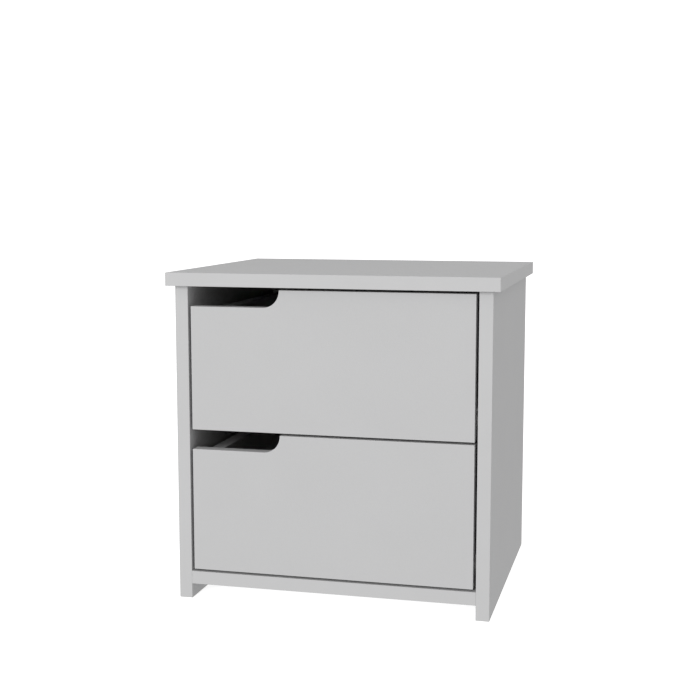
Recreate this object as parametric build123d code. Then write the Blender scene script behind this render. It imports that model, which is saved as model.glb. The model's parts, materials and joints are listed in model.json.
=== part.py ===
from build123d import *
import os
from math import floor, sqrt

# A low two-drawer bedside cabinet in laminated particle board, held together by cam fittings
# and dowels, with drawers on roller runners. Millimetres. The origin is on the floor under the
# middle of the top, +X is to the right of someone facing the drawers, -Y is towards them, +Z is up.
# The right-hand half is modelled, and the left-hand pieces are its mirror images.

# Overall size
width = 400.0
depth = 350.0
height = 400.0

# Boards and edges
board = 16.0
hardboard = 3.0
band = 0.8
band_round = 0.4

# Cabinet
side_overhang = 9.0
front_overhang = 9.0
back_reveal = 1.0
foot_height = 18.0
back_top_gap = 0.5
back_side_inset = 1.0

# Drawer fronts, flush with the front edges of the sides
front_side_gap = 3.5
front_top_gap = 3.5
front_middle_gap = 3.0
front_bottom_gap = 3.0
pull_length = 110.0
pull_depth = 21.0
pull_straight = 1.0

# Drawer boxes
runner_space = 12.5
box_lift = 13.5
box_below_pull = 6.0
box_arris = 0.6
bottom_lift = 14.0
groove_depth = 8.0
groove_play = 0.1
bottom_end_play = 0.5

# Cam fittings and dowels
cam_reach = 34.0
cam_radius = 7.5
cam_floor = 4.5
cam_play = 0.1
cam_wall = 4.0
cam_cavity_end = 4.0
bolt_thread_radius = 2.5
bolt_thread_length = 10.0
bolt_shank_radius = 3.0
bolt_neck_radius = 2.0
bolt_neck_length = 6.0
bolt_head_radius = 3.4
bolt_head_length = 3.5
bolt_head_before_axis = 3.0
bolt_hole_radius = 4.0
bolt_head_room = 0.5
dowel_radius = 4.0
dowel_length = 30.0
dowel_seat = 10.0
dowel_chamfer = 0.8
box_dowel_edge = 16.0
cam_edge_distance = 50.0
dowel_spacing = 32.0

# Screws and nails
hole_fit = 0.05
hole_end_room = 1.0
screw_head_radius = 3.4
screw_head_depth = 2.0
screw_shank_radius = 1.7
screw_tip_length = 3.0
screw_tip_radius = 0.4
runner_screw_length = 13.0
flange_screw_length = 12.0
joint_screw_length = 50.0
joint_screw_head_radius = 5.0
joint_screw_head_depth = 3.0
joint_screw_shank_radius = 3.5
joint_screw_core_radius = 2.5
joint_screw_edge = 25.0
recess_span = 3.4
recess_width = 0.8
recess_depth = 1.4
cam_recess_span = 8.0
cam_recess_width = 1.4
cam_recess_depth = 2.0
hex_recess_radius = 2.3
hex_recess_depth = 3.0
nail_radius = 0.7
nail_length = 20.0
nail_head_radius = 1.6
nail_head_height = 0.6
back_nails_per_side = 4
back_nail_end = 42.0
bottom_nail_end = 60.0
box_nail_end = 25.0

# Roller runners
steel = 1.2
bend_inside = 0.5
runner_step = 50.0
runner_rear_room = 10.0
runner_end_room = 2.0
travel_loss = 75.0
roller_radius = 11.0
roller_chamfer = 0.6
roller_recess_inner = 5.2
roller_recess_outer = 9.0
roller_recess_depth = 0.8
roller_side_play = 0.3
roller_track_play = 0.3
roller_height = 9.0
roller_front_gap = 2.0
roller_stop_gap = 0.8
roller_room = 3.0
bore_fit = 0.06
pin_radius = 3.0
pin_head_radius = 4.5
pin_head_height = 1.0
pin_head_gap = 1.0
flange_margin = 2.0
flange_gap = 0.8
lip_gap = 1.2
channel_top_play = 0.8
stop_height = 2.0
stop_length = 2.0
stop_play = 0.3
stop_reach = 6.0
screw_from_end = 35.0

# Worked out from the sizes above: the cabinet
top_under = height - board
front_y = -depth / 2 + front_overhang
back_y = depth / 2 - back_reveal - hardboard
side_outer = width / 2 - side_overhang
side_inner = side_outer - board
bottom_top = foot_height + board
cam_ys = (front_y + cam_edge_distance, back_y - cam_edge_distance)
dowel_ys = (cam_ys[0] + dowel_spacing, cam_ys[1] - dowel_spacing)
cam_depth = board / 2 + cam_floor
bolt_head_start = cam_reach - bolt_head_before_axis

# The drawer fronts. A drawer is modelled with z = 0 at the lower edge of its front.
front_width = 2 * (side_inner - front_side_gap)
front_room = top_under - bottom_top - front_top_gap - front_middle_gap - front_bottom_gap
front_height = front_room / 2
front_rear_y = front_y + board
lower_front_z = bottom_top + front_bottom_gap
front_z = {"lower": lower_front_z, "upper": lower_front_z + front_height + front_middle_gap}

# The runners and the drawer boxes
runner_room = back_y - front_rear_y - runner_rear_room
runner_nominal = runner_step * floor(runner_room / runner_step)
travel = runner_nominal - travel_loss
box_outer = side_inner - runner_space
box_inner = box_outer - board
box_middle = (box_outer + box_inner) / 2
box_rear_y = front_rear_y + runner_nominal
box_top = front_height - pull_depth - box_below_pull
back_front_y = box_rear_y - board
groove_z = box_lift + bottom_lift
groove_height = hardboard + 2 * groove_play
bottom_z = groove_z + groove_play
bottom_edge_x = box_inner + groove_depth - bottom_end_play
box_back_z = bottom_z + hardboard
runner_y = (front_rear_y + runner_end_room / 2, box_rear_y - runner_end_room / 2)
front_roller_y = runner_y[0] + roller_front_gap + roller_radius
rear_roller_y = runner_y[1] - steel - roller_stop_gap - roller_radius
roller_axis_z = box_lift + roller_height
member_flange_z = roller_height + roller_radius + roller_track_play
track_z = roller_height - roller_radius - roller_track_play
channel_top_z = member_flange_z + steel + channel_top_play
channel_lip = steel + lip_gap
bend_outside = bend_inside + steel
pin_length = runner_space - steel - pin_head_gap - pin_head_height
roller_width = pin_length - steel - 2 * roller_side_play
runner_screw_ys = (
    runner_y[0] + screw_from_end,
    (runner_y[0] + runner_y[1]) / 2,
    runner_y[1] - screw_from_end,
)
box_dowel_zs = (groove_z + groove_height + box_dowel_edge, box_top - box_dowel_edge)
box_cam_z = (box_dowel_zs[0] + box_dowel_zs[1]) / 2

RIGHT = Vector(1, 0, 0)
REARWARD = Vector(0, 1, 0)
UP = Vector(0, 0, 1)
ON_BASE = (Align.CENTER, Align.CENTER, Align.MIN)


def block(x, y, z):
    """A box that spans the given pair of values along each axis."""
    spans = (x, y, z)
    middle = [(low + high) / 2 for low, high in spans]
    return Pos(*middle) * Box(*[high - low for low, high in spans])


def rod(start, direction, length, radius):
    """A round bar from start along direction."""
    return Plane(origin=start, z_dir=direction) * Cylinder(radius, length, align=ON_BASE)


def turned(start, direction, outline):
    """A turned solid. Its outline is a list of (radius, distance along direction from start)."""
    rim = [(radius, 0, distance) for radius, distance in outline]
    axis_points = [(0, 0, outline[-1][1]), (0, 0, outline[0][1])]
    face = make_face(Polyline(*rim, *axis_points, close=True))
    return Plane(origin=start, z_dir=direction) * revolve(face, Axis.Z, 360)


def front_plane(x, y, z):
    """A drawing plane seen from the front: its own X and Y are the cabinet's X and Z."""
    return Plane(origin=(x, y, z), x_dir=RIGHT, z_dir=-REARWARD)


def mirrored(shape):
    """The same piece for the other side of the cabinet."""
    return mirror(shape, about=Plane.YZ)


def both_sides(shapes):
    """The given right-hand solids and their mirror images."""
    return list(shapes) + [mirrored(shape) for shape in shapes]


def cross_recess(start, direction, span, slot, deep):
    """The cutter for a cross recess in a fastener's head."""
    long_way = Box(span, slot, deep, align=ON_BASE)
    return Plane(origin=start, z_dir=direction) * (long_way + Rot(0, 0, 90) * long_way)


# Fasteners


def dowel(face_point, direction):
    """A dowel seated behind a face, standing out of it along direction."""
    start = face_point - direction * dowel_seat
    waist = dowel_radius - dowel_chamfer
    outline = [
        (waist, 0),
        (dowel_radius, dowel_chamfer),
        (dowel_radius, dowel_length - dowel_chamfer),
        (waist, dowel_length),
    ]
    return turned(start, direction, outline)


def dowel_hole(face_point, direction):
    """The holes for a dowel, in the board with the face and in the board that butts against it."""
    start = face_point - direction * (dowel_seat + hole_end_room)
    length = dowel_length + 2 * hole_end_room
    return rod(start, direction, length, dowel_radius + hole_fit)


def cam_bolt(face_point, direction):
    """A cam bolt: its thread is behind the face, and its head stands out along direction."""
    neck_start = bolt_head_start - bolt_neck_length
    outline = [
        (bolt_thread_radius, -bolt_thread_length),
        (bolt_thread_radius, 0),
        (bolt_shank_radius, 0),
        (bolt_shank_radius, neck_start),
        (bolt_neck_radius, neck_start),
        (bolt_neck_radius, bolt_head_start),
        (bolt_head_radius, bolt_head_start),
        (bolt_head_radius, bolt_head_start + bolt_head_length),
    ]
    return turned(face_point, direction, outline)


def bolt_thread_hole(face_point, direction):
    """The blind hole for the thread, behind the face."""
    length = bolt_thread_length + hole_end_room
    return rod(face_point, -direction, length, bolt_thread_radius + hole_fit)


def bolt_end_hole(face_point, direction):
    """The hole for the shank, from the face to the cam."""
    return rod(face_point, direction, cam_reach, bolt_hole_radius)


def cam_bore(centre, inward):
    """The bore for a cam, from the board's surface inward."""
    return rod(centre, inward, cam_depth, cam_radius)


def cam_lock(centre, inward, towards_bolt):
    """A cam in its bore, with the cavity that holds the bolt's head and the slot round its neck."""
    body = rod(centre, inward, cam_depth - cam_play, cam_radius - cam_play)
    on_bolt_axis = centre + inward * (board / 2)
    cavity_start = on_bolt_axis - towards_bolt * cam_cavity_end
    cavity_length = cam_cavity_end + cam_radius - cam_play - cam_wall
    cavity = rod(cavity_start, towards_bolt, cavity_length, bolt_head_radius + bolt_head_room)
    slot = rod(on_bolt_axis, towards_bolt, cam_radius, bolt_neck_radius + bolt_head_room)
    cross = cross_recess(centre, inward, cam_recess_span, cam_recess_width, cam_recess_depth)
    return body - cavity - slot - cross


def screw_outline(length, play, end_room):
    """The outline of a countersunk screw, or of its hole when play is added."""
    return [
        (screw_head_radius + play, 0),
        (screw_shank_radius + play, screw_head_depth),
        (screw_shank_radius + play, length + end_room - screw_tip_length),
        (screw_tip_radius + play, length + end_room),
    ]


def screw(start, direction, length):
    """A countersunk screw whose head is flush with start."""
    recess = cross_recess(start, direction, recess_span, recess_width, recess_depth)
    return turned(start, direction, screw_outline(length, 0, 0)) - recess


def screw_hole(start, direction, length):
    """The countersunk hole for a screw."""
    return turned(start, direction, screw_outline(length, hole_fit, hole_end_room))


def joint_screw_outline(play, end_room):
    """The outline of a one-piece joint screw, or of its stepped hole when play is added."""
    return [
        (joint_screw_head_radius + play, 0),
        (joint_screw_shank_radius + play, joint_screw_head_depth),
        (joint_screw_shank_radius + play, board),
        (joint_screw_core_radius + play, board),
        (joint_screw_core_radius + play, joint_screw_length + end_room),
    ]


def joint_screw(start, direction):
    """A joint screw with a hexagonal recess, its head flush with start."""
    seat = Plane(origin=start, z_dir=direction)
    recess = extrude(seat * RegularPolygon(hex_recess_radius, 6), hex_recess_depth)
    return turned(start, direction, joint_screw_outline(0, 0)) - recess


def joint_screw_hole(start, direction):
    """The stepped hole for a joint screw."""
    return turned(start, direction, joint_screw_outline(hole_fit, hole_end_room))


def nail(surface_point, direction):
    """A nail whose head lies on the surface."""
    outline = [
        (nail_head_radius, -nail_head_height),
        (nail_head_radius, 0),
        (nail_radius, 0),
        (nail_radius, nail_length),
    ]
    return turned(surface_point, direction, outline)


def nail_hole(surface_point, direction):
    """The hole that a nail fills."""
    return rod(surface_point, direction, nail_length + hole_end_room, nail_radius + hole_fit)


def all_of(make, places):
    """One solid for each place, where a place is the list of values that the maker takes."""
    return [make(*place) for place in places]


# Places of the cabinet's fasteners, right-hand side

side_middle = (side_outer + side_inner) / 2
bottom_middle = (foot_height + bottom_top) / 2
top_bolts = [(Vector(side_middle, y, top_under), -UP) for y in cam_ys]
bottom_bolts = [(Vector(side_inner, y, bottom_middle), -RIGHT) for y in cam_ys]
top_dowels = [(Vector(side_middle, y, top_under), -UP) for y in dowel_ys]
bottom_dowels = [(Vector(side_inner, y, bottom_middle), -RIGHT) for y in dowel_ys]
top_cams = [(Vector(side_inner, y, top_under - cam_reach), RIGHT) for y in cam_ys]
bottom_cams = [(Vector(side_inner - cam_reach, y, foot_height), UP) for y in cam_ys]
back_nail_step = (top_under - foot_height - 2 * back_nail_end) / (back_nails_per_side - 1)
side_nail_zs = [
    foot_height + back_nail_end + n * back_nail_step for n in range(back_nails_per_side)
]
side_nails = [(Vector(side_middle, back_y + hardboard, z), -REARWARD) for z in side_nail_zs]
lower_nail_x = side_inner - bottom_nail_end
lower_nails = [
    (Vector(x, back_y + hardboard, bottom_middle), -REARWARD) for x in (-lower_nail_x, 0, lower_nail_x)
]


def runner_screw_places(bottom_of_front):
    """Screws that hold a right-hand runner channel to the side panel."""
    z = bottom_of_front + box_lift + roller_height
    return [(Vector(side_inner - steel, y, z), RIGHT, runner_screw_length) for y in runner_screw_ys]


# Cabinet panels


def banded_front_edge(x, z):
    """An edge band on the front edge of a cabinet panel, its two long outer edges rounded."""
    strip = block(x, (front_y, front_y + band), z)
    outer_edges = strip.faces().sort_by(Axis.Y)[0].edges()
    return fillet(outer_edges, band_round)


def top_panel_pieces():
    """The top panel and the band round its four edges."""
    outer = block((-width / 2, width / 2), (-depth / 2, depth / 2), (top_under, height))
    core_x = (band - width / 2, width / 2 - band)
    core_y = (band - depth / 2, depth / 2 - band)
    core = block(core_x, core_y, (top_under, height))
    ring = fillet(outer.edges(), band_round) - core
    cutters = all_of(bolt_thread_hole, top_bolts) + all_of(dowel_hole, top_dowels)
    return core - both_sides(cutters), ring


def side_panel():
    """The right-hand side panel with all its holes."""
    core = block((side_inner, side_outer), (front_y + band, back_y), (0, top_under))
    cutters = (
        all_of(bolt_end_hole, top_bolts)
        + all_of(cam_bore, top_cams)
        + all_of(dowel_hole, top_dowels + bottom_dowels)
        + all_of(bolt_thread_hole, bottom_bolts)
        + all_of(nail_hole, side_nails)
    )
    for z in front_z.values():
        cutters += all_of(screw_hole, runner_screw_places(z))
    return core - cutters


def bottom_panel():
    """The bottom panel between the sides, with its cam bores underneath."""
    core = block((-side_inner, side_inner), (front_y + band, back_y), (foot_height, bottom_top))
    cutters = (
        all_of(bolt_end_hole, bottom_bolts)
        + all_of(cam_bore, bottom_cams)
        + all_of(dowel_hole, bottom_dowels)
    )
    return core - both_sides(cutters) - all_of(nail_hole, lower_nails)


def back_panel():
    """The hardboard back, nailed to the sides and to the bottom panel."""
    x = side_outer - back_side_inset
    sheet = block((-x, x), (back_y, back_y + hardboard), (foot_height, top_under - back_top_gap))
    return sheet - both_sides(all_of(nail_hole, side_nails)) - all_of(nail_hole, lower_nails)


# Drawers, with z = 0 at the lower edge of the front

front_bolts = [(Vector(box_middle, front_rear_y, box_cam_z), REARWARD)]
front_dowels = [(Vector(box_middle, front_rear_y, z), REARWARD) for z in box_dowel_zs]
box_cams = [(Vector(box_outer, front_rear_y + cam_reach, box_cam_z), -RIGHT)]
box_back_middle = (back_front_y + box_rear_y) / 2
box_screws = [
    (Vector(box_outer, box_back_middle, z), -RIGHT)
    for z in (box_back_z + joint_screw_edge, box_top - joint_screw_edge)
]
flange_screws = [
    (Vector(box_middle, y, box_lift - steel), UP, flange_screw_length) for y in runner_screw_ys
]
box_nail_x = box_inner - box_nail_end
box_bottom_nails = [
    (Vector(x, box_back_middle, bottom_z), UP) for x in (-box_nail_x, 0, box_nail_x)
]


def front_outline():
    """The face of a drawer front, with the finger cut-out at its upper left."""
    left = -front_width / 2
    right = front_width / 2
    pull_end = left + pull_length
    pull_floor = front_height - pull_depth
    pull_radius = pull_depth - pull_straight
    straight = Polyline(
        (pull_end - pull_radius, pull_floor),
        (left, pull_floor),
        (left, 0),
        (right, 0),
        (right, front_height),
        (pull_end, front_height),
        (pull_end, pull_floor + pull_radius),
    )
    corner = CenterArc((pull_end - pull_radius, pull_floor + pull_radius), pull_radius, -90, 90)
    return make_face([*straight.edges(), *corner.edges()])


def drawer_front_pieces():
    """The drawer front and the band round its whole edge."""
    face = front_outline()
    seat = front_plane(0, front_y, 0)
    outer = extrude(seat * face, -board)
    core = extrude(seat * offset(face, -band, kind=Kind.INTERSECTION), -board)
    ring = fillet(outer.edges(), band_round) - core
    groove_x = box_inner + groove_depth
    groove = block(
        (-groove_x, groove_x),
        (front_rear_y - groove_depth, front_rear_y),
        (groove_z, groove_z + groove_height),
    )
    cutters = all_of(bolt_thread_hole, front_bolts) + all_of(dowel_hole, front_dowels)
    return core - both_sides(cutters) - groove, ring


def drawer_side():
    """The right-hand side of a drawer box, under its top band."""
    core = block((box_inner, box_outer), (front_rear_y, box_rear_y), (box_lift, box_top - band))
    lower_edges = core.edges().filter_by(Axis.Y).sort_by(Axis.Z)[:2]
    core = chamfer(lower_edges.sort_by(Axis.X)[-1], box_arris)
    groove = block(
        (box_inner, box_inner + groove_depth),
        (front_rear_y, box_rear_y),
        (groove_z, groove_z + groove_height),
    )
    cutters = (
        all_of(bolt_end_hole, front_bolts)
        + all_of(cam_bore, box_cams)
        + all_of(dowel_hole, front_dowels)
        + all_of(joint_screw_hole, box_screws)
        + all_of(screw_hole, flange_screws)
    )
    return core - groove - cutters


def drawer_back():
    """The back of a drawer box, which stands on the drawer's bottom."""
    core = block((-box_inner, box_inner), (back_front_y, box_rear_y), (box_back_z, box_top - band))
    screw_holes = both_sides(all_of(joint_screw_hole, box_screws))
    return core - screw_holes - all_of(nail_hole, box_bottom_nails)


def drawer_bands():
    """The bands on the top edges of a drawer's two sides and its back."""
    z = (box_top - band, box_top)
    side_band = block((box_inner, box_outer), (front_rear_y, box_rear_y), z)
    back_band = block((-box_inner, box_inner), (back_front_y, box_rear_y), z)
    return both_sides([side_band]) + [back_band]


def drawer_bottom():
    """The hardboard bottom, held in the grooves and nailed up into the back."""
    front_edge = front_rear_y - groove_depth + bottom_end_play
    rear_edge = box_rear_y - bottom_end_play
    z = (bottom_z, bottom_z + hardboard)
    sheet = block((-bottom_edge_x, bottom_edge_x), (front_edge, rear_edge), z)
    return sheet - all_of(nail_hole, box_bottom_nails)


# Roller runners. Their sections are drawn as (distance out from the drawer box,
# height above the lower edge of the drawer box).


def folded_strip(path, radii):
    """A folded steel strip as long as a runner. The steel lies to the left of the path."""
    seat = front_plane(box_outer, runner_y[0], box_lift)
    spine = FilletPolyline(*path, radius=radii)
    section = make_face(spine.offset_2d(steel, side=Side.LEFT, closed=True))
    return extrude(seat * section, runner_y[0] - runner_y[1])


def runner_block(out, y, up):
    """A box placed like a runner's section."""
    return block(
        (box_outer + out[0], box_outer + out[1]), y, (box_lift + up[0], box_lift + up[1])
    )


def pin_place(from_box, y, direction):
    """The start and direction of a roller's pin, from the far face of the steel it is fixed in."""
    return Vector(box_outer + from_box, y, roller_axis_z), direction


front_pin = pin_place(runner_space, front_roller_y, -RIGHT)
rear_pin = pin_place(0, rear_roller_y, RIGHT)


def roller_pin(start, direction):
    """A riveted pin with a head that keeps the roller on."""
    outline = [
        (pin_radius, 0),
        (pin_radius, pin_length),
        (pin_head_radius, pin_length),
        (pin_head_radius, pin_length + pin_head_height),
    ]
    return turned(start, direction, outline)


def pin_hole(start, direction):
    """The hole for a roller's pin through the steel."""
    return rod(start, direction, steel, pin_radius + hole_fit)


def roller(pin_start, direction):
    """A nylon roller on its pin, with a ring-shaped recess in each face."""
    start = pin_start + direction * (steel + roller_side_play)
    end = start + direction * roller_width
    wheel = chamfer(
        rod(start, direction, roller_width, roller_radius).edges().filter_by(GeomType.CIRCLE),
        roller_chamfer,
    )
    for face_point, inward in ((start, direction), (end, -direction)):
        wheel -= rod(face_point, inward, roller_recess_depth, roller_recess_outer) - rod(
            face_point, inward, roller_recess_depth, roller_recess_inner
        )
    return wheel - rod(start, direction, roller_width, pin_radius + bore_fit)


def cabinet_runner():
    """The right-hand channel that is screwed to the cabinet, with its two stops."""
    path = [
        (channel_lip, track_z - steel),
        (runner_space, track_z - steel),
        (runner_space, channel_top_z + steel),
        (channel_lip, channel_top_z + steel),
    ]
    channel = folded_strip(path, bend_outside)
    lip_notch = runner_block(
        (0, runner_space - bend_outside),
        (runner_y[0], front_roller_y + roller_radius + roller_room),
        (track_z - steel, track_z + steel),
    )
    rear_stop = runner_block(
        (channel_lip, runner_space - steel),
        (runner_y[1] - steel, runner_y[1]),
        (track_z - steel / 2, channel_top_z + steel / 2),
    )
    reach_forward = sqrt(roller_radius**2 - (roller_height - track_z - stop_height) ** 2)
    stop_y = rear_roller_y - travel - reach_forward - stop_play
    front_stop = runner_block(
        (channel_lip, channel_lip + stop_reach),
        (stop_y - stop_length, stop_y),
        (track_z - steel / 2, track_z + stop_height),
    )
    cutters = all_of(screw_hole, runner_screw_places(0)) + [pin_hole(*front_pin)]
    return channel - lip_notch + rear_stop + front_stop - cutters


def drawer_runner():
    """The right-hand member that is screwed under the drawer's side and rides on the rollers."""
    path = [
        (flange_margin - board, -steel),
        (steel, -steel),
        (steel, member_flange_z),
        (runner_space - steel - flange_gap, member_flange_z),
    ]
    member = folded_strip(path, [bend_outside, bend_inside])
    flange_notch = runner_block(
        (bend_outside, runner_space),
        (rear_roller_y - roller_radius - roller_room, runner_y[1]),
        (member_flange_z - steel, member_flange_z + steel),
    )
    return member - flange_notch - all_of(screw_hole, flange_screws) - pin_hole(*rear_pin)


# The finished set of pieces, by name

pieces = {}
pieces["top_panel"], pieces["top_panel_edge_band"] = top_panel_pieces()
pieces["right_side_panel"] = side_panel()
pieces["right_side_edge_band"] = banded_front_edge((side_inner, side_outer), (0, top_under))
for piece in ("side_panel", "side_edge_band"):
    pieces[f"left_{piece}"] = mirrored(pieces[f"right_{piece}"])
pieces["bottom_panel"] = bottom_panel()
pieces["bottom_panel_edge_band"] = banded_front_edge(
    (-side_inner, side_inner), (foot_height, bottom_top)
)
pieces["back_panel"] = back_panel()
pieces["back_panel_nails"] = both_sides(all_of(nail, side_nails)) + all_of(nail, lower_nails)
pieces["panel_dowels"] = both_sides(all_of(dowel, top_dowels + bottom_dowels))
pieces["panel_cam_bolts"] = both_sides(all_of(cam_bolt, top_bolts + bottom_bolts))
pieces["panel_cam_locks"] = both_sides(
    [cam_lock(*place, UP) for place in top_cams] + [cam_lock(*place, RIGHT) for place in bottom_cams]
)
pieces["cabinet_runner_screws"] = []
pieces["cabinet_roller_pins"] = []

front, front_band = drawer_front_pieces()
box_side = drawer_side()
channel = cabinet_runner()
member = drawer_runner()
drawer_pieces = {
    "drawer_front": front,
    "drawer_front_edge_band": front_band,
    "drawer_right_side": box_side,
    "drawer_left_side": mirrored(box_side),
    "drawer_box_edge_bands": drawer_bands(),
    "drawer_back": drawer_back(),
    "drawer_bottom": drawer_bottom(),
    "drawer_bottom_nails": all_of(nail, box_bottom_nails),
    "drawer_dowels": both_sides(all_of(dowel, front_dowels)),
    "drawer_cam_bolts": both_sides(all_of(cam_bolt, front_bolts)),
    "drawer_cam_locks": both_sides([cam_lock(*place, -REARWARD) for place in box_cams]),
    "drawer_back_screws": both_sides(all_of(joint_screw, box_screws)),
    "right_drawer_runner": member,
    "left_drawer_runner": mirrored(member),
    "drawer_runner_screws": both_sides(all_of(screw, flange_screws)),
    "drawer_roller_pins": both_sides([roller_pin(*rear_pin)]),
    "right_rear_roller": roller(*rear_pin),
    "left_rear_roller": mirrored(roller(*rear_pin)),
    "right_cabinet_runner": channel,
    "left_cabinet_runner": mirrored(channel),
    "right_front_roller": roller(*front_pin),
    "left_front_roller": mirrored(roller(*front_pin)),
}
for level, z in front_z.items():
    lift = Pos(0, 0, z)
    for name, shape in drawer_pieces.items():
        solids = shape if isinstance(shape, list) else [shape]
        pieces[f"{level}_{name}"] = [lift * solid for solid in solids]
    pieces["cabinet_runner_screws"] += both_sides(all_of(screw, runner_screw_places(z)))
    pieces["cabinet_roller_pins"] += [lift * pin for pin in both_sides([roller_pin(*front_pin)])]

os.makedirs("parts", exist_ok=True)
for name, shape in pieces.items():
    group = Compound(shape) if isinstance(shape, list) else shape
    export_step(group, f"parts/{name}.step")
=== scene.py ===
import json
from math import copysign, cos, pi, radians, sin

import bmesh
import bpy
from bpy.props import FloatProperty, FloatVectorProperty, IntProperty, PointerProperty
from bpy.types import Operator, Panel, PropertyGroup
from mathutils import Matrix, Vector


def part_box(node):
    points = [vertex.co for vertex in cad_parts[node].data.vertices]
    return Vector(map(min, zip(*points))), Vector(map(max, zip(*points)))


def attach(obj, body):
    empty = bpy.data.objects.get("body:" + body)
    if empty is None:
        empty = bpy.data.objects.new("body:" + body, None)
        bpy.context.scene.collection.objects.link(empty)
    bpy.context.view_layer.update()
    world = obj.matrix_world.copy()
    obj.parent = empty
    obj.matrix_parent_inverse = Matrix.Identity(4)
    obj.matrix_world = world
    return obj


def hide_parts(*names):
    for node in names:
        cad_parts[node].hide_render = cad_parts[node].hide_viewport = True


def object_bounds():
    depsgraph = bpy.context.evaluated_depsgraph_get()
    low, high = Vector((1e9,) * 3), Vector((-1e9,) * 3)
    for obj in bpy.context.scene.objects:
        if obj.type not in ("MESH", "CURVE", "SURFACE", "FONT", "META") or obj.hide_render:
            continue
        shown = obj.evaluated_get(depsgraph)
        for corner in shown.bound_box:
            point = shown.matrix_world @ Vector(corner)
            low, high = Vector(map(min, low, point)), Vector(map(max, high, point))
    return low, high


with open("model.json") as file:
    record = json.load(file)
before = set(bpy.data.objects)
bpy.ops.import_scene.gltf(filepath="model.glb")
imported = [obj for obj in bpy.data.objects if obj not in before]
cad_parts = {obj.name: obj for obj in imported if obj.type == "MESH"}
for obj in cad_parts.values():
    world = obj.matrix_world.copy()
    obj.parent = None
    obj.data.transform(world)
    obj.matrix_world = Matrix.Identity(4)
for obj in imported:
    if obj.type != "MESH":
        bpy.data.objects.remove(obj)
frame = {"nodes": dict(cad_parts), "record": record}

bl_info = {
    "name": "Two-Drawer Nightstand",
    "version": (1, 0, 0),
    "blender": (4, 5, 0),
    "location": "3D View > Sidebar > Nightstand",
    "description": "Finishes the boards, runners and fittings of a small nightstand and sets its studio",
    "category": "Add Mesh",
}

NODES = frame["nodes"]
CAD_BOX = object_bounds()
BODY_OF = {node: body for body, nodes in frame["record"]["behaviour"]["bodies"].items() for node in nodes}
MM = 0.001
LEVELS = ("upper", "lower")
SIDES = ("left", "right")

# Sizes of the finishes' patterns and the depths of their bumps
BOARD_CLOUD = 70 * MM
CORE_BUMP = 0.35 * MM
CHIP_FLATNESS = 2.6
BAND_CLOUD = 45 * MM
BAND_LINES = 0.5 * MM
BAND_BUMP = 0.07 * MM
HARDBOARD_CLOUD = 60 * MM
FIBRE_SIZE = 1.6 * MM
SPECK_SIZE = 3.2 * MM
FIBRE_BUMP = 0.12 * MM
PEEL_SIZE = 1.1 * MM
POWDER_CLOUD = 25 * MM
PEEL_BUMP = 0.03 * MM
ZINC_BLOTCH = 2.4 * MM
ZINC_GRAIN = 0.25 * MM
SMOOTH_BUMP = 0.012 * MM
NYLON_CLOUD = 5 * MM
NYLON_GRAIN = 0.5 * MM
BEECH_GRAIN = 1.2 * MM
BEECH_FLECK = 0.7 * MM
BEECH_BUMP = 0.06 * MM

# Shaping
FULL_TURN = 2 * pi
QUARTER_STEPS = (0, pi / 8, pi / 4, 3 * pi / 8, pi / 2)
SHARP_ANGLE = radians(32)
SEAM_MERGE = 1e-7
SOLID_MERGE = 1e-6
CROSS_TAPER = 0.6
HEX_TAPER = 0.92
SLOT_TWIST = 2.4
CAM_MOUTH = radians(64)

# Studio, in metres
STUDIO_STEPS = 96
FLOOR_RADIUS = 14.0
FLOOR_DROP = 0.2 * MM
WALL_RADIUS = 13.0
WALL_HEIGHT = 24.0
LAMP_PLACE = (-1.3, -5.0, 1.8)
LAMP_TARGET = (0.0, 0.0, 0.2)
LAMP_SIZE = (2.8, 2.2)
SENSOR_WIDTH = 36.0
WHITE = (1.0, 1.0, 1.0, 1.0)


# Settings


def colour_setting(name, description, default):
    """A colour that the user may change."""
    return FloatVectorProperty(
        name=name, description=description, default=default, subtype="COLOR", min=0.0, max=1.0
    )


def length_setting(name, description, default):
    """A length that the user may change, in metres."""
    return FloatProperty(
        name=name, description=description, default=default, unit="LENGTH", min=0.0, precision=5
    )


class BoardSettings(PropertyGroup):
    """Colours and texture sizes of the panels."""

    face_colour: colour_setting("Melamine", "Colour of the laminated faces", (0.515, 0.515, 0.518))
    band_colour: colour_setting("Edge band", "Colour of the plastic edge band", (0.525, 0.525, 0.528))
    paint_colour: colour_setting("Painted side", "Painted side of the hardboard", (0.50, 0.50, 0.50))
    hardboard_colour: colour_setting("Raw side", "Raw side of the hardboard", (0.19, 0.105, 0.052))
    chip_light: colour_setting("Light chips", "Lightest chips of the board's core", (0.55, 0.40, 0.25))
    chip_dark: colour_setting("Dark chips", "Darkest chips of the board's core", (0.20, 0.115, 0.055))
    beech_colour: colour_setting("Beech", "Colour of the dowels", (0.56, 0.36, 0.19))
    paper_thickness: length_setting("Paper", "Thickness of the laminate's paper", 0.15 * MM)
    pearl_size: length_setting("Pearl grain", "Size of the melamine's pressed grain", 0.9 * MM)
    chip_size: length_setting("Chip", "Length of a chip in the board's core", 2.4 * MM)


class MetalSettings(PropertyGroup):
    """Colours of the runners, rollers and fittings."""

    powder_colour: colour_setting("Powder coat", "Colour of the runners' coating", (0.74, 0.74, 0.733))
    zinc_colour: colour_setting("Zinc", "Colour of the zinc-plated fittings", (0.60, 0.61, 0.63))
    nylon_colour: colour_setting("Nylon", "Colour of the rollers", (0.74, 0.73, 0.69))


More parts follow.
